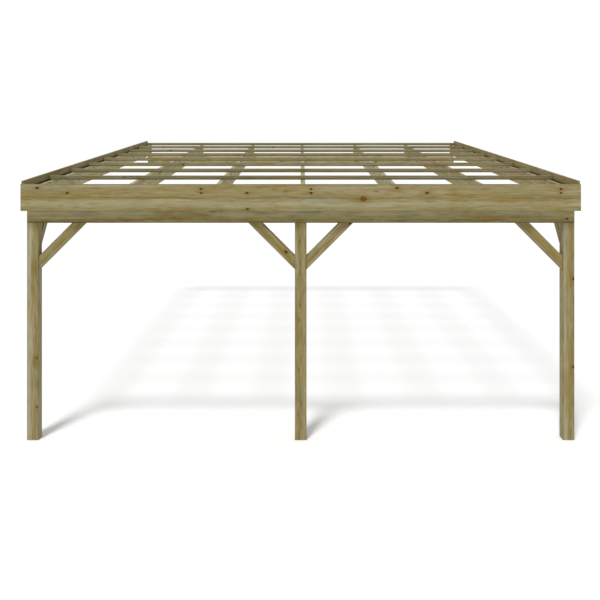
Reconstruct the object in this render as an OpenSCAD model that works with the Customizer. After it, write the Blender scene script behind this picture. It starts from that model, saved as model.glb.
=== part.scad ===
// Lean-to carport frame: three front posts and a wall plate carry seven rafters,
// eight purlins, a front fascia and two edge boards. Braces stiffen the posts.
// Millimetres, +Z up. The wall is the plane Y = 0 and the front looks along -Y.
// The origin lies in the middle of the wall plate's rear face.

/* [Roof] */
// Depth from the front face of the posts to the wall
roof_depth = 6850; // [5500:5:8000]
// How far the roof reaches past the front face of the posts, behind the fascia
overhang = 70; // [20:1:200]
// Fall of the roof towards the front, in degrees
roof_pitch = 2.5; // [1:0.1:8]

/* [Posts] */
// Side of the square posts
post_w = 120; // [100:1:160]
// Height of the posts, from the floor to the underside of the front beam
post_h = 2250; // [2000:5:2800]

/* [Beams] */
// Length of the front beam
beam_l = 5670; // [5400:2:6400]
// Thickness of the front beam
beam_t = 120; // [80:1:160]
// Height of the front beam at its front face
beam_h = 188; // [140:1:260]
// Thickness of the wall plate
plate_t = 120; // [60:1:160]
// Height of the wall plate at its front face
plate_h = 180; // [140:1:260]

/* [Rafters] */
// Thickness of a rafter
rafter_t = 50; // [38:1:75]
// Depth of a rafter, square to its length
rafter_h = 175; // [140:1:225]
// How far the edge rafters stand in from the ends of the front beam
rafter_inset = 18; // [0:1:60]
// Distance from the first rafter to the second
first_bay = 961; // [900:1:1050]
// Spacing of the rafters after that
rafter_pitch = 944; // [900:1:1020]

/* [Purlins] */
// Width of a purlin, along the slope
purlin_w = 45; // [35:1:70]
// Height of a purlin, square to the slope
purlin_h = 45; // [30:1:70]
// How far a purlin reaches past the outer face of the edge rafters
purlin_over = 25; // [5:1:60]

/* [Boards] */
// Thickness of the front fascia
fascia_t = 28; // [20:1:60]
// Height of the front fascia
fascia_h = 275; // [240:1:320]
// How far the fascia stands above the top of the purlins
fascia_up = 3; // [0:1:30]
// Thickness of an edge board
edge_t = 28; // [18:1:45]
// Height of an edge board, square to the slope
edge_h = 145; // [110:1:220]
// How far an edge board stands above the top of the purlins
edge_up = 35; // [15:1:60]

/* [Braces] */
// Width of a brace, square to its length
brace_w = 100; // [60:1:110]
// Thickness of the front braces
brace_t = 95; // [45:1:100]
// Distance from the front beam down to the foot of a front brace
brace_leg = 485; // [350:5:700]
// Distance from the front beam down to the foot of a side brace
side_leg = 420; // [300:5:650]

/* [Hidden] */

// Colours of the treated softwood, as it weathers on each kind of timber
post_colour = "#94895f";
beam_colour = "#80764f";
rafter_colour = "#8a8060";
purlin_colour = "#7c7355";
board_colour = "#968b67";
brace_colour = "#8e835c";

rafter_n = 7;
centre_rafter = 4;
purlin_n = 8;

// Heights above the floor at a distance d behind the front face of the posts
function rafter_under(d) = post_h + beam_h + d * tan(roof_pitch);
function rafter_top(d) = rafter_under(d) + rafter_h / cos(roof_pitch);
function purlin_top(d) = rafter_top(d) + purlin_h / cos(roof_pitch);

// Width over the edge rafters, which is the length of the wall plate too
rafters_w = beam_l - 2 * rafter_inset;

// Left face of a rafter: the outer ones stand in from the beam ends,
// and the middle one starts on the centre line
function rafter_x(i) =
    i == 1 ? -rafters_w / 2 :
    i == rafter_n ? rafters_w / 2 - rafter_t :
    i == centre_rafter ? 0 :
    first_bay + (i - 2) * rafter_pitch - rafters_w / 2;

plate_front = roof_depth - plate_t;
plate_under = rafter_under(plate_front) - plate_h;
origin_height = (plate_under + rafter_under(roof_depth)) / 2;

purlin_step = (roof_depth + overhang - purlin_w * cos(roof_pitch)) / purlin_n;
purlin_l = rafters_w + 2 * purlin_over;
roof_w = purlin_l + 2 * edge_t;

brace_slant = brace_w * sqrt(2);
brace_foot = post_h - brace_leg;
side_foot = post_h - side_leg;
brace_inset = (post_w - brace_t) / 2;

// Moves a timber that is drawn from the floor and the front of the posts to the wall
module from_front() {
    translate([0, -roof_depth, -origin_height])
        children();
}

// A timber along X, with its section drawn as [distance behind the front, height]
module section_along_x(section, x, length) {
    from_front()
        translate([x, 0, 0])
            rotate([90, 0, 90])
                linear_extrude(length)
                    polygon(section);
}

// A post with its middle at x
module post(x) {
    color(post_colour)
        from_front()
            translate([x - post_w / 2, 0, 0])
                cube([post_w, post_w, post_h]);
}

// The beam that stands on the posts, its top planed to the slope of the roof
module front_beam() {
    color(beam_colour)
        section_along_x([
            [0, post_h],
            [beam_t, post_h],
            [beam_t, rafter_under(beam_t)],
            [0, rafter_under(0)]
        ], -beam_l / 2, beam_l);
}

// The plate on the wall, its top planed to the slope of the roof
module wall_plate() {
    color(beam_colour)
        section_along_x([
            [plate_front, plate_under],
            [roof_depth, plate_under],
            [roof_depth, rafter_under(roof_depth)],
            [plate_front, rafter_under(plate_front)]
        ], -rafters_w / 2, rafters_w);
}

// A rafter with plumb ends, from the back of the fascia to the wall
module rafter(i) {
    color(rafter_colour)
        section_along_x([
            [-overhang, rafter_under(-overhang)],
            [roof_depth, rafter_under(roof_depth)],
            [roof_depth, rafter_top(roof_depth)],
            [-overhang, rafter_top(-overhang)]
        ], rafter_x(i), rafter_t);
}

// A purlin across all rafters, the last one flush with their ends at the wall
module purlin(i) {
    d = i * purlin_step - overhang;
    color(purlin_colour)
        from_front()
            translate([-purlin_l / 2, d, rafter_top(d)])
                rotate([roof_pitch, 0, 0])
                    cube([purlin_l, purlin_w, purlin_h]);
}

// The board that closes the rafter ends and hangs in front of the beam's upper part
module front_fascia() {
    fascia_top = purlin_top(-overhang) + fascia_up;
    color(board_colour)
        from_front()
            translate([-roof_w / 2, -overhang - fascia_t, fascia_top - fascia_h])
                cube([roof_w, fascia_t, fascia_h]);
}

// A board on the ends of the purlins, standing above them as a rim
module edge_board(x) {
    rim = edge_up / cos(roof_pitch);
    drop = edge_h / cos(roof_pitch);
    color(board_colour)
        section_along_x([
            [-overhang, purlin_top(-overhang) + rim - drop],
            [roof_depth, purlin_top(roof_depth) + rim - drop],
            [roof_depth, purlin_top(roof_depth) + rim],
            [-overhang, purlin_top(-overhang) + rim]
        ], x, edge_t);
}

// A brace from a post to the front beam, to the right (side = 1) or left (side = -1)
module front_brace(x, side) {
    color(brace_colour)
        from_front()
            translate([x, brace_inset + brace_t, 0])
                rotate([90, 0, 0])
                    linear_extrude(brace_t)
                        polygon([
                            [0, brace_foot],
                            [side * brace_leg, post_h],
                            [side * (brace_leg - brace_slant), post_h],
                            [0, brace_foot + brace_slant]
                        ]);
}

// A brace from the back of a corner post to the underside of its edge rafter
module side_brace(x) {
    rise = rafter_under(post_w) - side_foot;
    far = rise / (1 - tan(roof_pitch));
    near = (rise - brace_slant) / (1 - tan(roof_pitch));
    color(brace_colour)
        section_along_x([
            [post_w, side_foot],
            [post_w + far, side_foot + far],
            [post_w + near, side_foot + brace_slant + near],
            [post_w, side_foot + brace_slant]
        ], x, rafter_t);
}

corner_post_x = (beam_l - post_w) / 2;
corner_inner_x = beam_l / 2 - post_w;

post(-corner_post_x);  // post_left
post(0);  // post_centre
post(corner_post_x);  // post_right
front_beam();
front_fascia();
wall_plate();
edge_board(-roof_w / 2);  // edge_board_left
edge_board(purlin_l / 2);  // edge_board_right
for (i = [1:rafter_n])
    rafter(i);
for (i = [1:purlin_n])
    purlin(i);
front_brace(-corner_inner_x, 1);  // front_brace_left
front_brace(-post_w / 2, -1);  // front_brace_centre_left
front_brace(post_w / 2, 1);  // front_brace_centre_right
front_brace(corner_inner_x, -1);  // front_brace_right
side_brace(rafter_x(1));  // side_brace_left
side_brace(rafter_x(rafter_n));  // side_brace_right
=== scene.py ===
import math

import bmesh
import bpy
from mathutils import Matrix, Vector


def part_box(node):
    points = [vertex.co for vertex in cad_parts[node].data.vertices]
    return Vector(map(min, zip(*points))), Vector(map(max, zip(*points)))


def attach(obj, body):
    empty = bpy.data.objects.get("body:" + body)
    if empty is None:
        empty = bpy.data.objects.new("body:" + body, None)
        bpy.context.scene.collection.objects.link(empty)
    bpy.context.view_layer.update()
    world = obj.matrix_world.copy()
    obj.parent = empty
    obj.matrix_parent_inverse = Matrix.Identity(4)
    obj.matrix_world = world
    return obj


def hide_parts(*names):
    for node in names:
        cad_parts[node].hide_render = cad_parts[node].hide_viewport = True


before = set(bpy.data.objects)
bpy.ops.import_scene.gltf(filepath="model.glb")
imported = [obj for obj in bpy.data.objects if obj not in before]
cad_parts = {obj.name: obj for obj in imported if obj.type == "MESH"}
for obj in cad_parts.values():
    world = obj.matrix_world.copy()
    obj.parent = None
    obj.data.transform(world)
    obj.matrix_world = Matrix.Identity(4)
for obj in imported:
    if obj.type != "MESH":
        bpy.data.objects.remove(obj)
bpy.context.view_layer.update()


# Posts: three square posts of planed, pressure-treated pine that stand on the floor.
# Their long arrises are eased with a plane and their ends are sawn square.
class Grain:
    """One socket of a shader: arithmetic on it adds Math nodes to the same tree."""

    def __init__(self, tree, socket=None):
        self.tree = tree
        self.socket = socket

    def node(self, kind, settings=None, sockets=None, out=0):
        """Adds any other node: its settings first, then the values or links of its sockets."""
        made = self.tree.nodes.new(kind)
        for name, value in (settings or {}).items():
            if name == "stops":
                marks = made.color_ramp.elements
                while len(marks) < len(value):
                    marks.new(1.0)
                for mark, (position, colour) in zip(marks, value):
                    mark.position = position
                    mark.color = colour
            else:
                setattr(made, name, value)
        for key, value in (sockets or {}).items():
            if isinstance(value, Grain):
                self.tree.links.new(value.socket, made.inputs[key])
            else:
                made.inputs[key].default_value = value
        return Grain(self.tree, made.outputs[out] if made.outputs else None)

    def other(self, out):
        """Another output of the node that this socket belongs to."""
        return Grain(self.tree, self.socket.node.outputs[out])

    def math(self, operation, first, second=0.0):
        return self.node("ShaderNodeMath", {"operation": operation}, {0: first, 1: second})

    def __add__(self, value):
        return self.math("ADD", self, value)

    def __radd__(self, value):
        return self.math("ADD", value, self)

    def __sub__(self, value):
        return self.math("SUBTRACT", self, value)

    def __rsub__(self, value):
        return self.math("SUBTRACT", value, self)

    def __mul__(self, value):
        return self.math("MULTIPLY", self, value)

    def __rmul__(self, value):
        return self.math("MULTIPLY", value, self)

    def __truediv__(self, value):
        return self.math("DIVIDE", self, value)

    def __rtruediv__(self, value):
        return self.math("DIVIDE", value, self)

    def __abs__(self):
        return self.math("ABSOLUTE", self)

    def least(self, value):
        return self.math("MINIMUM", self, value)

    def most(self, value):
        return self.math("MAXIMUM", self, value)

    def step(self, low, high):
        """0 at low and 1 at high, with a smooth rise or, where low is the larger, a fall."""
        limits = {"Value": self, "From Min": low, "From Max": high}
        return self.node("ShaderNodeMapRange", {"interpolation_type": "SMOOTHSTEP"}, limits)

    def vector(self, operation, *values, out=0):
        sockets = dict(enumerate(values))
        return self.node("ShaderNodeVectorMath", {"operation": operation}, sockets, out)

    def mixed(self, colour, share, way="MIX"):
        """This colour with another laid over it by a share."""
        # Where a Mix node mixes colours, its inputs 6 and 7 are the two and its output 2 is the result.
        settings = {"data_type": "RGBA", "blend_type": way}
        return self.node("ShaderNodeMix", settings, {0: share, 6: self, 7: colour}, 2)

    def tinted(self, cast, share):
        """This colour under a cast, which is a screen colour and its strength where the share is 1."""
        colour, strength = cast
        return self.mixed(tone(colour), share * strength)


def tone(hex_colour):
    """A screen colour such as 958a63 as the linear colour that a shader takes."""
    parts = [int(hex_colour[i:i + 2], 16) / 255 for i in (0, 2, 4)]
    return tuple(((p + 0.055) / 1.055) ** 2.4 if p > 0.04045 else p / 12.92 for p in parts) + (1.0,)


def bare_tree(owner):
    """Empties the node tree of a material or of the world, and gives the first handle on it."""
    owner.use_nodes = True
    owner.node_tree.nodes.clear()
    return Grain(owner.node_tree)


class Run:
    """How a timber lies: its own axes, and the middle and half size of its CAD node along them."""

    def __init__(self, node, along, across):
        self.node = node
        self.along = Vector(along).normalized()
        self.across = Vector(across).normalized()
        self.depth = self.along.cross(self.across)
        self.axes = Matrix((self.along, self.across, self.depth))
        spots = [self.axes @ v.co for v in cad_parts[node].data.vertices]
        low = Vector([min(s[i] for s in spots) for i in range(3)])
        high = Vector([max(s[i] for s in spots) for i in range(3)])
        self.middle = (low + high) / 2
        self.half = (high - low) / 2

    def at(self, along, across, depth):
        """The point that lies so far from the timber's middle along its own axes."""
        return self.axes.transposed() @ (self.middle + Vector((along, across, depth)))


def finished(bm, name):
    """Makes a finished bmesh an object of the scene, with its place in its mesh."""
    mesh = bpy.data.meshes.new(name)
    bm.to_mesh(mesh)
    bm.free()
    made = bpy.data.objects.new(name, mesh)
    bpy.context.scene.collection.objects.link(made)
    return made


def eased_timber(run, ease):
    """A merged copy of the CAD timber with eased long arrises and the sharp edges of a saw cut."""
    merge_gap = 1e-5
    flat_angle = math.radians(0.5)
    lengthwise = 0.999
    endwise = 0.3
    arris_segments = 3
    saw_ease = 0.0012
    bm = bmesh.new()
    bm.from_mesh(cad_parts[run.node].data)
    bmesh.ops.remove_doubles(bm, verts=bm.verts, dist=merge_gap)
    bmesh.ops.dissolve_limit(bm, angle_limit=flat_angle, verts=bm.verts, edges=bm.edges)
    arrises = []
    for edge in bm.edges:
        way = (edge.verts[1].co - edge.verts[0].co).normalized()
        if abs(way.dot(run.along)) > lengthwise:
            arrises.append(edge)
    rounded = bmesh.ops.bevel(
        bm, geom=arrises, offset=ease, offset_type="OFFSET", affect="EDGES",
        segments=arris_segments, profile=0.5, material=-1)
    for face in rounded["faces"]:
        face.smooth = True
    bm.normal_update()
    cuts = [face for face in bm.faces if abs(face.normal.dot(run.along)) > endwise]
    rims = list({edge for face in cuts for edge in face.edges})
    bmesh.ops.bevel(
        bm, geom=rims, offset=saw_ease, offset_type="OFFSET", affect="EDGES",
        segments=1, profile=0.5, material=-1)
    return finished(bm, run.node + "_timber")


# Casts are a colour and its strength, and shades are what the wood's colour is multiplied by
green_cast = ("7f7f5c", 0.45)
brown_cast = ("8b793d", 0.5)
# Painted fill light: faces that look along the across axis are made paler and greyer
side_fill_light = ("9f987e", 0.4)
check_cast = ("55441f", 0.35)
halo_cast = ("7c6226", 0.8)
fleck_cast = ("5f4815", 0.6)
end_grain = "6f6242"
# The colour of the painted shade in slots and nooks
painted_shade_colour = "211808"
figure_shade = (0.80, 0.78, 0.71, 1.0)
late_shade = (0.78, 0.73, 0.60, 1.0)
fibre_shade = (0.86, 0.84, 0.78, 1.0)
worn_shade = (0.75, 0.74, 0.71, 1.0)
knot_cores = {
    "dead": ("352600", 0.96),
    "live": ("5c3a02", 0.92),
    "faint": ("352600", 0.28),
    "trace": None,
}
live_rings = 0.16
largest_knot = 0.022
no_knot = 0.0001


def treated_pine(run, tones, seed, bands=(), knots=(), strewn=largest_knot, painted_shade=None):
    """Wood of one timber: streaks, year rings, knots, checks, end grain and worn arrises along its run.
    Bands are (across, width, colour, strength); knots are (along, across, radius, kind of core),
    all from its middle. Knots strewn on its faces have up to that size.
    The last argument is a dark band of painted shade on one side of its depth, where shade falls in a
    slot or a nook: (across, width, side of its depth, strength)."""
    brown, mid, pale = (tone(t) for t in tones)
    material = bpy.data.materials.new(run.node + "_wood")
    grain = bare_tree(material)
    seed_step = Vector((7.31, 3.17, 5.71))
    shift = seed_step * seed
    objects = grain.node("ShaderNodeTexCoord", out="Object")
    turn = {"Vector": objects, "Location": -run.middle, "Rotation": run.axes.to_euler()}
    local = grain.node("ShaderNodeMapping", {"vector_type": "POINT"}, turn)
    along = grain.node("ShaderNodeSeparateXYZ", None, {0: local})
    across = along.other("Y")
    depth = along.other("Z")
    normal = grain.node("ShaderNodeTexCoord", out="Normal")
    sideways = abs(grain.vector("DOT_PRODUCT", normal, run.across, out="Value")).step(0.5, 0.8)
    sawn = abs(grain.vector("DOT_PRODUCT", normal, run.along, out="Value")).step(0.3, 0.6)

    def noise(point, per_metre, detail):
        """Soft noise around 0.5, with so many waves to the metre along, across and in depth."""
        stretched = grain.vector("MULTIPLY_ADD", point, per_metre, shift)
        sockets = {"Vector": stretched, "Scale": 1.0, "Detail": detail}
        return grain.node("ShaderNodeTexNoise", None, sockets)

    def near_line(line, place, width):
        """1 where the line's value is at a place, falling to 0 on both sides over a width."""
        away = (line - place) / width
        return grain.math("EXPONENT", away * away * -1.0)

    def from_knot(offset, ringed=0.0):
        """Shares of a knot's round dark core and long brown halo, at an offset in radii."""
        core_stretch = 0.75
        halo_stretch = 0.3
        halo_fade = 0.35
        ragged = 0.7
        rim_outside = 1.2
        rim_inside = 0.7
        ring_count = 26.0
        ring_waver = 0.15
        core_offset = grain.vector("MULTIPLY", offset, (core_stretch, 1, 0))
        halo_offset = grain.vector("MULTIPLY", offset, (halo_stretch, 1, 0))
        core_gap = grain.vector("LENGTH", core_offset, out="Value")
        halo_gap = grain.vector("LENGTH", halo_offset, out="Value")
        inside = (core_gap + speck * ragged - ragged / 2).step(rim_outside, rim_inside)
        if ringed:
            rings = grain.math("SINE", (core_gap + speck * ring_waver) * ring_count)
            inside = inside * (1 - ringed + rings * ringed)
        return inside, 1 / (1 + halo_gap * halo_gap * halo_fade)

    def strewn_knots(point, cell, largest):
        """The same for the nearest of the knots that are strewn one to a cell, most of them small."""
        knotless_share = 0.35
        smallest_share = 0.001
        cells = grain.vector("MULTIPLY_ADD", point, (1 / cell[0], 1 / cell[1], 0), shift)
        settings = {"voronoi_dimensions": "2D", "feature": "F1"}
        sockets = {"Vector": cells, "Scale": 1.0}
        found = grain.node("ShaderNodeTexVoronoi", settings, sockets, "Position")
        metres = grain.vector("MULTIPLY", grain.vector("SUBTRACT", cells, found), (*cell, 0))
        size = grain.node("ShaderNodeSeparateColor", None, {0: found.other("Color")})
        radius = (size - knotless_share).most(smallest_share) * largest
        per_radius = {0: metres, 3: 1 / radius}
        return from_knot(grain.node("ShaderNodeVectorMath", {"operation": "SCALE"}, per_radius))

    cell_margin = 0.06
    face_cell = (0.62, 2 * run.half.y + cell_margin)
    side_cell = (0.71, 2 * run.half.z + cell_margin)
    speck = noise(local, (120.0, 190.0, 190.0), 2.0)
    side = grain.node("ShaderNodeCombineXYZ", None, {0: along, 1: depth})
    core, halo = strewn_knots(local, face_cell, max(strewn, no_knot))
    side_core, side_halo = strewn_knots(side, side_cell, largest_knot)
    cores = {"dead": core}
    for knot_along, knot_across, radius, kind in knots:
        spot = -Vector((knot_along, knot_across, 0)) / radius
        offset = grain.vector("MULTIPLY_ADD", local, (1 / radius, 1 / radius, 0), spot)
        placed_core, placed_halo = from_knot(offset, live_rings if kind == "live" else 0.0)
        cores[kind] = cores[kind].most(placed_core) if kind in cores else placed_core
        halo = halo.most(placed_halo)
    cores = {kind: share * (1 - sideways) for kind, share in cores.items()}
    core = cores["dead"] + side_core * sideways
    cores["dead"] = core
    halo = halo + (side_halo - halo) * sideways

    grain_sway = 0.034
    knot_bend = 0.012
    wander = noise(local, (0.5, 2.2, 2.2), 2.0) - 0.5
    waver = noise(local, (0.8, 3.1, 2.7), 1.0) - 0.5
    across_grain = across + wander * grain_sway + halo * knot_bend
    depth_grain = depth + waver * grain_sway
    flow = grain.node("ShaderNodeCombineXYZ", None, {0: along, 1: across_grain, 2: depth_grain})
    streak = noise(flow, (0.9, 26.0, 26.0), 4.0)
    cloud = noise(flow, (2.2, 8.0, 8.0), 3.0)
    figure = noise(flow, (7.0, 52.0, 52.0), 3.0)
    fibre = noise(flow, (8.0, 430.0, 430.0), 2.0)

    year_width = 0.0052
    year_waver = 1.5
    pith_place = 0.35 if seed % 2 else -0.55
    pith_sink = 0.9 if seed % 3 else -1.6
    pith_across = across_grain - run.half.y * pith_place
    pith_depth = depth_grain - run.half.z * pith_sink
    reach = grain.math("SQRT", pith_across * pith_across + pith_depth * pith_depth)
    ring = grain.math("FRACT", reach / year_width + cloud * year_waver)
    late = ring * ring * ring

    band_cover = 1.6
    pale_figure = 0.45
    late_share = 0.7
    stops = [(0.36, brown), (0.47, mid), (0.55, mid), (0.65, pale)]
    wood = grain.node("ShaderNodeValToRGB", {"stops": stops}, {"Fac": streak})
    for place, width, colour, strength in bands:
        covered = near_line(across_grain, place, width) * (cloud * band_cover).least(1.0)
        wood = wood.tinted((colour, strength), covered)
    wood = wood.tinted(green_cast, cloud.step(0.5, 0.7))
    wood = wood.tinted(brown_cast, cloud.step(0.46, 0.3))
    # Faces along the across axis are painted paler and greyer, a painted fill light on them
    wood = wood.tinted(side_fill_light, sideways)
    wood = wood.mixed(pale, figure.step(0.48, 0.28) * pale_figure)
    wood = wood.mixed(figure_shade, figure.step(0.5, 0.72), "MULTIPLY")
    wood = wood.mixed(late_shade, late * late_share, "MULTIPLY")
    wood = wood.mixed(fibre_shade, fibre.step(0.35, 0.7), "MULTIPLY")

    end_early = 0.35
    end_late = 0.55
    wood = wood.mixed(tone(end_grain), sawn * (end_early + late * end_late))

    check = noise(flow, (0.45, 17.0, 17.0), 1.0)
    split = abs(check - 0.5).step(0.006, 0.001) * cloud.step(0.56, 0.66) * (1 - sawn)
    wood = wood.tinted(check_cast, split)
    wood = wood.tinted(halo_cast, halo * halo)
    for kind, share in cores.items():
        if knot_cores[kind]:
            wood = wood.tinted(knot_cores[kind], share)
    wood = wood.tinted(fleck_cast, core * speck.step(0.5, 0.68))

    worn_from = 0.012
    worn_full = 0.003
    worn_least = 0.45
    worn_cloud = 0.8
    arris = (run.half.y - abs(across)) + (run.half.z - abs(depth))
    worn = arris.step(worn_from, worn_full) * (worn_least + cloud * worn_cloud)
    wood = wood.mixed(worn_shade, worn, "MULTIPLY")
    # Painted shade: a dark band on the inner side, where shade falls in a slot or a nook
    if painted_shade:
        place, width, side_sign, strength = painted_shade
        inner = (depth * side_sign).step(0, run.half.z)
        wood = wood.tinted((painted_shade_colour, strength), near_line(across, place, width) * inner)

    matt = 0.70
    shine = 0.12
    rough = matt + fibre * 0.16 + late * 0.06 - core * 0.18
    height = fibre * 0.5 + late * 0.35 + core * 0.5 - split * 1.2
    relief = {"Strength": 0.45, "Distance": 0.0012, "Height": height}
    bump = grain.node("ShaderNodeBump", None, relief)
    finish = {"Base Color": wood, "Roughness": rough, "Specular IOR Level": shine, "Normal": bump}
    surface = grain.node("ShaderNodeBsdfPrincipled", None, finish)
    grain.node("ShaderNodeOutputMaterial", None, {"Surface": surface})
    return material


def fit(run, ease, material):
    """Makes a dressed timber, gives it its wood and puts it in the place of its CAD node."""
    piece = eased_timber(run, ease)
    piece.data.materials.append(material)
    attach(piece, "root")
    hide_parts(run.node)


UP = Vector((0, 0, 1))
RIGHT = Vector((1, 0, 0))

post_seed = 1
post_tones = ("8d7b4d", "958a62", "a8a28a")
post_ease = 0.005
# The bands and then the knots of each post
post_grain = {
    "post_left": (
        [(-0.032, 0.020, "b1ae98", 0.85), (0.030, 0.022, "907d48", 0.6)],
        [(-0.274, 0.044, 0.012, "live"), (-0.30, 0.022, 0.018, "trace"),
         (-0.781, 0.044, 0.009, "dead"), (0.64, 0.034, 0.020, "trace")]),
    "post_centre": (
        [(-0.025, 0.024, "84713a", 0.75), (0.045, 0.010, "a29a74", 0.5)],
        [(0.93, -0.008, 0.010, "faint"), (0.27, -0.006, 0.009, "faint"),
         (0.12, -0.020, 0.010, "faint"), (-0.39, -0.022, 0.009, "faint"),
         (-0.86, -0.018, 0.008, "faint")]),
    "post_right": (
        [(-0.042, 0.018, "afa885", 0.8), (0.022, 0.030, "8b773f", 0.65)],
        [(0.545, 0.048, 0.012, "dead"), (0.57, 0.028, 0.013, "trace"),
         (-0.367, 0.048, 0.012, "dead"), (-0.36, 0.030, 0.013, "trace")]),
}
for seed, (post, (bands, knots)) in enumerate(post_grain.items(), post_seed):
    run = Run(post, UP, RIGHT)
    wood = treated_pine(run, post_tones, seed, bands, knots, strewn=0)
    fit(run, post_ease, wood)


# Front beam: one planed timber that lies on the three posts and is screwed down into them.
# Its top is planed to the fall of the roof, and the fascia hangs in front of its upper part.
beam_seed = 4
beam_tones = ("907e4c", "9d9265", "aca383")
beam_ease = 0.005
beam_bands = [
    # The pale band along the top, just under the fascia, is painted light that lifts the shade there
    (0.030, 0.011, "bcb287", 0.9),
    (0.002, 0.022, "b4b190", 0.9),
    (-0.061, 0.006, "6b5b32", 0.6),
    (-0.090, 0.008, "4f4220", 0.8),
]
beam_knots = [
    (2.757, -0.053, 0.010, "dead"), (-1.31, -0.039, 0.006, "dead"), (-0.908, 0.022, 0.009, "faint"),
    (-1.80, -0.079, 0.014, "trace"), (0.0, -0.074, 0.015, "trace"), (1.04, -0.084, 0.013, "trace"),
    (1.91, -0.079, 0.014, "trace"),
]
front_beam = Run("front_beam", RIGHT, UP)
beam_wood = treated_pine(front_beam, beam_tones, beam_seed, beam_bands, beam_knots, strewn=0)
fit(front_beam, beam_ease, beam_wood)


# Wall plate: the same planed timber at the rear, bolted flat to the wall when it is put up.
# Its top is planed to the fall of the roof as well, and the rafters rest on it.
plate_seed = 5
plate_tones = ("ae9b67", "b9ae84", "c5bc9f")
plate_bands = [(-0.045, 0.040, "958a63", 0.9)]
plate_knots = [(-0.354, -0.019, 0.012, "dead"), (1.111, 0.020, 0.009, "dead")]
wall_plate = Run("wall_plate", RIGHT, UP)
plate_wood = treated_pine(wall_plate, plate_tones, plate_seed, plate_bands, plate_knots)
fit(wall_plate, beam_ease, plate_wood)


# Rafters: seven sawn planks on edge, which fall from the wall plate to the front beam.
# Their ends are cut plumb, past the beam at the front, and skew screws hold them down.
rafter_seed = 6
rafter_tones = ("a5996f", "b2ac89", "c0bba2")
browner_tones = ("95845b", "a1946d", "aea589")
browner_rafters = ("rafter_6", "rafter_7")
rafter_ease = 0.003
rafter_nodes = [f"rafter_{i}" for i in range(1, 8)]
rafter_low, rafter_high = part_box("rafter_1")
rafter_corners = [v.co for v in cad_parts["rafter_1"].data.vertices]
front_limit = rafter_low.y + 0.001
top_front = max(corner.z for corner in rafter_corners if corner.y < front_limit)
SLOPE = Vector((0, rafter_high.y - rafter_low.y, rafter_high.z - top_front)).normalized()
ROOF_UP = RIGHT.cross(SLOPE)
rafter_runs = [Run(node, SLOPE, ROOF_UP) for node in rafter_nodes]
for seed, run in enumerate(rafter_runs, rafter_seed):
    tones = browner_tones if run.node in browner_rafters else rafter_tones
    fit(run, rafter_ease, treated_pine(run, tones, seed))


# Braces: short lengths of planed timber, mitred at both ends and screwed from below.
# Four stiffen the posts under the front beam, two the corner posts under the edge rafters.
# The upper face of those two is painted darker towards the inside, painted shade for the nook under the
# edge rafter.
BACK = Vector((0, 1, 0))
brace_seed = 13
brace_ways = {
    "front_brace_left": RIGHT,
    "front_brace_centre_left": -RIGHT,
    "front_brace_centre_right": RIGHT,
    "front_brace_right": -RIGHT,
    "side_brace_left": BACK,
    "side_brace_right": BACK,
}
brown_tones = ("857342", "908354", "a09773")
pale_tones = ("8a7c4e", "958c65", "a59f88")
grey_tones = ("81774f", "8c8561", "9c9781")
other_tones = {
    "front_brace_centre_right": pale_tones,
    "side_brace_left": pale_tones,
    "side_brace_right": grey_tones,
}
brace_ease = 0.004
brace_bands = [
    (-0.040, 0.012, "a39b80", 0.7),
    (0.042, 0.010, "a39b80", 0.6),
    (0.0, 0.022, "8b783e", 0.5),
]
brace_knots = {
    "front_brace_centre_left": [(-0.149, 0.013, 0.014, "dead")],
    "front_brace_centre_right": [(0.313, -0.030, 0.012, "dead")],
}
# Which side of each side brace takes the painted shade, and how wide and dark it is
nook_shade_sides = {"side_brace_left": 1, "side_brace_right": -1}
nook_shade_width = 0.010
nook_shade_strength = 0.6
brace_runs = [Run(node, UP + way, UP - way) for node, way in brace_ways.items()]
for seed, run in enumerate(brace_runs, brace_seed):
    tones = other_tones.get(run.node, brown_tones)
    knots = brace_knots.get(run.node, ())
    inner_side = nook_shade_sides.get(run.node)
    painted_nook_shade = (run.half.y, nook_shade_width, inner_side, nook_shade_strength) if inner_side else None
    wood = treated_pine(run, tones, seed, brace_bands, knots, strewn=0, painted_shade=painted_nook_shade)
    fit(run, brace_ease, wood)


# Purlins: eight sawn battens across all the rafters, one screw into each of them.
# The roofing sheets would lie on their tops, and the last one is flush with the wall.
purlin_seed = 19
purlin_tones = ("796f4d", "857d5f", "948d73")
paler_tones = ("857b55", "908868", "9f987c")
paler_purlins = ("purlin_3", "purlin_4")
purlin_bands = [(0.010, 0.010, "a39a79", 0.8), (-0.018, 0.008, "6b6345", 0.75)]
purlin_knots = 0.016
purlin_ease = 0.003
purlin_nodes = [f"purlin_{i}" for i in range(1, 9)]
purlin_runs = [Run(node, RIGHT, ROOF_UP) for node in purlin_nodes]
for seed, run in enumerate(purlin_runs, purlin_seed):
    tones = paler_tones if run.node in paler_purlins else purlin_tones
    wood = treated_pine(run, tones, seed, purlin_bands, strewn=purlin_knots)
    fit(run, purlin_ease, wood)


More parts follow.
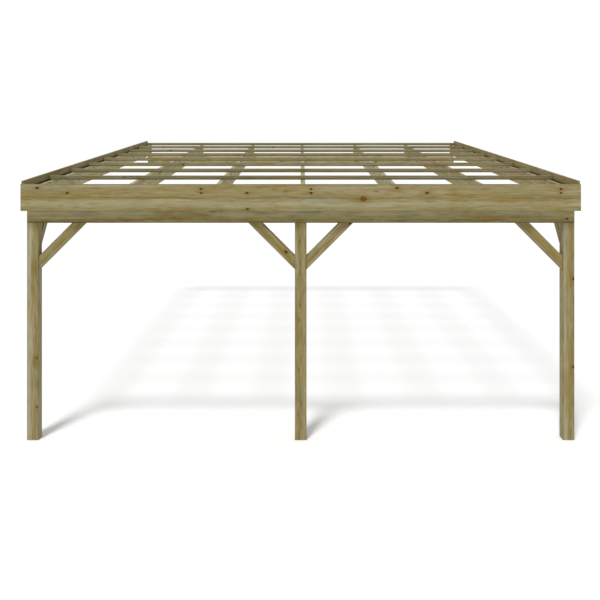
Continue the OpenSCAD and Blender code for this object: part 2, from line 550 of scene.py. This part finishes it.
# Front fascia: one wide planed board on the sawn ends of the rafters, a little before the front beam.
# It is fixed from behind, so no screws show on its face, only small dark pin knots.
fascia_seed = 27
fascia_tones = ("8b7a48", "978c64", "a59d80")
fascia_ease = 0.004
fascia_bands = [
    (0.034, 0.020, "8d7c49", 0.4),
    (0.002, 0.010, "7f6a36", 0.95),
    (-0.056, 0.024, "aaa588", 0.75),
    (0.075, 0.020, "9c9066", 0.5),
]
pin_knots = [
    (-2.699, 0.098, 0.013), (-2.392, 0.047, 0.012), (-1.021, 0.087, 0.011), (-1.021, 0.047, 0.010),
    (-0.550, 0.047, 0.012), (-0.545, -0.117, 0.012), (0.105, 0.087, 0.010), (0.105, 0.047, 0.012),
    (0.986, 0.098, 0.012), (1.293, 0.047, 0.012), (2.664, 0.087, 0.011), (2.664, 0.047, 0.010),
]
faint_knots = [
    (-0.273, 0.082, 0.007), (-0.156, 0.063, 0.008), (-0.817, -0.127, 0.007), (0.771, 0.063, 0.007),
]
fascia_knots = [(*knot, "dead") for knot in pin_knots] + [(*knot, "faint") for knot in faint_knots]
fascia_knots.append((0.641, -0.014, 0.028, "live"))
fascia = Run("front_fascia", RIGHT, UP)
fascia_wood = treated_pine(fascia, fascia_tones, fascia_seed, fascia_bands, fascia_knots, strewn=0)
fit(fascia, fascia_ease, fascia_wood)


# Edge boards: a planed board on the purlin ends at each side, standing above them as a rim.
# Each is screwed to every purlin end from outside, and the slot on its inner side is darkened with
# painted shade.
edge_seed = 28
# The tones of each board, which side of it is the inner one, and how dark the painted shade in its slot
# is
edge_looks = {
    "edge_board_left": (("84774d", "928968", "a19a82"), 1, 0.92),
    "edge_board_right": (("927e4e", "9f9164", "ada283"), -1, 0.75),
}
edge_ease = 0.003
edge_knots = 0.010
slot_place = -0.010
slot_width = 0.014
edge_runs = [Run(node, SLOPE, ROOF_UP) for node in edge_looks]
for seed, run in enumerate(edge_runs, edge_seed):
    tones, inner_side, slot_darkness = edge_looks[run.node]
    # Painted shade in the slot between the board and the edge rafter
    slot_shade = (slot_place, slot_width, inner_side, slot_darkness)
    wood = treated_pine(run, tones, seed, strewn=edge_knots, painted_shade=slot_shade)
    fit(run, edge_ease, wood)


# Screws: countersunk timber screws with a dull olive coating and a round drive recess.
# They hold the purlins, edge boards, braces and rafters, with their heads just proud of the wood.
screw_radius = 0.0055
screw_proud = 0.0006
screw_sides = 12
shank_length = 0.004
shank_share = 0.6
recess_rim = 0.45
recess_depth = 0.0018


def screw_head(bm, spot, facing):
    """Sinks one screw into the wood at a spot, with its head looking along facing."""
    tall = shank_length + screw_proud
    turn = facing.to_track_quat("Z", "Y").to_matrix().to_4x4()
    place = Matrix.Translation(spot + facing * (screw_proud - tall / 2)) @ turn
    head = bmesh.ops.create_cone(
        bm, cap_ends=True, segments=screw_sides, radius1=screw_radius * shank_share,
        radius2=screw_radius, depth=tall, matrix=place)
    faces = {face for vert in head["verts"] for face in vert.link_faces}
    top = max(faces, key=lambda face: face.normal.dot(facing))
    bmesh.ops.inset_individual(bm, faces=[top], thickness=screw_radius * recess_rim)
    bmesh.ops.translate(bm, verts=top.verts, vec=facing * -recess_depth)


def coated_steel(name):
    """The olive coating of the screws, worn to grey metal in spots."""
    spots_per_metre = 900.0
    bare_metal = ("8b8a83", 0.5)
    stops = [(0.3, tone("4c4a35")), (0.7, tone("6f6b4e"))]
    material = bpy.data.materials.new(name)
    grain = bare_tree(material)
    objects = grain.node("ShaderNodeTexCoord", out="Object")
    sockets = {"Vector": objects, "Scale": spots_per_metre, "Detail": 2.0}
    spots = grain.node("ShaderNodeTexNoise", None, sockets)
    worn = spots.step(0.52, 0.62)
    coat = grain.node("ShaderNodeValToRGB", {"stops": stops}, {0: spots}).tinted(bare_metal, worn)
    finish = {"Base Color": coat, "Roughness": 0.34 + spots * 0.3, "Metallic": 0.35 + worn * 0.5}
    surface = grain.node("ShaderNodeBsdfPrincipled", None, finish)
    grain.node("ShaderNodeOutputMaterial", None, {"Surface": surface})
    return material


screw_coat = coated_steel("screw_coat")


def screw_set(name, spots):
    """All screws of one kind as one piece; each spot is a place and the way that the head faces."""
    bm = bmesh.new()
    for spot, facing in spots:
        screw_head(bm, spot, facing)
    piece = finished(bm, name)
    piece.data.materials.append(screw_coat)
    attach(piece, "root")


rafter_centres = [run.at(0, 0, 0).x for run in rafter_runs]
screw_set("purlin_screws", [
    (run.at(x, run.half.y, 0), ROOF_UP) for run in purlin_runs for x in rafter_centres])

edge_screws = []
for run, outwards in zip(edge_runs, (-RIGHT, RIGHT)):
    board = run.at(0, 0, 0)
    reach = run.half.z
    for purlin in purlin_runs:
        end = purlin.at(0, 0, 0)
        edge_screws.append((Vector((board.x, end.y, end.z)) + outwards * reach, outwards))
screw_set("edge_board_screws", edge_screws)

brace_end = 0.085
pair_gauge = 0.45
pair_from = 0.03
brace_screws = []
for run in brace_runs:
    gauge = run.half.z * pair_gauge if run.half.z > pair_from else 0
    for along in (brace_end - run.half.x, run.half.x - brace_end):
        for depth in sorted({-gauge, gauge}):
            brace_screws.append((run.at(along, -run.half.y, depth), -run.across))
screw_set("brace_screws", brace_screws)

skew_height = 0.045
rafter_screws = []
for run in rafter_runs:
    for support in (front_beam, wall_plate):
        along = (support.at(0, 0, 0).y - run.at(0, 0, 0).y) / SLOPE.y
        for outwards in (-1, 1):
            spot = run.at(along, skew_height - run.half.y, outwards * run.half.z)
            rafter_screws.append((spot, run.depth * outwards))
screw_set("rafter_screws", rafter_screws)


# Floor: a plain pale studio floor, level with the feet of the posts.
# Seen directly it is lifted towards white behind the posts, painted light that makes the soft shadow of
# the frame fainter there.
floor_reach = 60.0
floor_shade = (0.95, 0.95, 0.95, 1.0)
white = (1.0, 1.0, 1.0, 1.0)
floor_lift = 0.55
lift_gap = 0.22
lift_reach = 1.08
floor_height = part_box("post_left")[0].z
lift_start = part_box("post_left")[1].y + lift_gap


def seen_directly(grain):
    """1 for a ray that comes from the camera, or by way of metal or glass, and 0 for the rest."""
    ray = grain.node("ShaderNodeLightPath", out="Is Camera Ray")
    return ray.most(ray.other("Is Glossy Ray")).most(ray.other("Is Transmission Ray"))


bm = bmesh.new()
bmesh.ops.create_grid(bm, x_segments=1, y_segments=1, size=floor_reach)
bmesh.ops.translate(bm, verts=bm.verts, vec=(0, 0, floor_height))
floor = finished(bm, "floor")
floor_paint = bpy.data.materials.new("floor_paint")
grain = bare_tree(floor_paint)
objects = grain.node("ShaderNodeTexCoord", out="Object")
behind = grain.node("ShaderNodeSeparateXYZ", None, {0: objects}).other("Y")
# Painted light: the floor's shadows fade out behind the posts
lifted = behind.step(lift_start, lift_start + lift_reach) * floor_lift
paint = grain.node("ShaderNodeBsdfDiffuse", None, {"Color": floor_shade})
glow = grain.node("ShaderNodeEmission", None, {"Color": white, "Strength": 1.0})
surface = grain.node("ShaderNodeMixShader", None, {0: seen_directly(grain) * lifted, 1: paint, 2: glow})
grain.node("ShaderNodeOutputMaterial", None, {"Surface": surface})
floor.data.materials.append(floor_paint)


# Light: an even pale surround, with one large soft lamp from the front left, high up.
# Seen directly the surround is white, as the paper of a studio backdrop.
surround_level = 0.55
lamp_level = 2.07
lamp_spread = math.radians(10.0)
lamp_way = Vector((0.197, 0.508, -1.0))
world = bpy.data.worlds.new("surround")
bpy.context.scene.world = world
grain = bare_tree(world)
level = surround_level + seen_directly(grain) * (1.0 - surround_level)
backdrop = grain.node("ShaderNodeBackground", None, {"Color": white, "Strength": level})
grain.node("ShaderNodeOutputWorld", None, {"Surface": backdrop})

lamp = bpy.data.lights.new("soft_lamp", "SUN")
lamp.energy = lamp_level
lamp.angle = lamp_spread
lamp_object = bpy.data.objects.new("soft_lamp", lamp)
lamp_object.rotation_mode = "QUATERNION"
lamp_object.rotation_quaternion = lamp_way.to_track_quat("-Z", "Y")
bpy.context.scene.collection.objects.link(lamp_object)


# Camera: level, in front of the middle post and above the roof, with the picture shifted down
# so that the posts stay upright in it as they do in the photograph.
eye_distance = 8.629
eye_height = 3.233
level_turn = math.radians(90)
post_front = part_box("post_left")[0].y
camera = bpy.data.cameras.new("camera")
camera.lens = 50.0
camera.sensor_width = 36.0
camera.shift_x = -0.0012
camera.shift_y = -0.2867
camera_object = bpy.data.objects.new("camera", camera)
camera_object.location = (0, post_front - eye_distance, floor_height + eye_height)
camera_object.rotation_euler = (level_turn, 0, 0)
bpy.context.scene.collection.objects.link(camera_object)
bpy.context.scene.camera = camera_object
bpy.context.scene.view_settings.view_transform = "Standard"
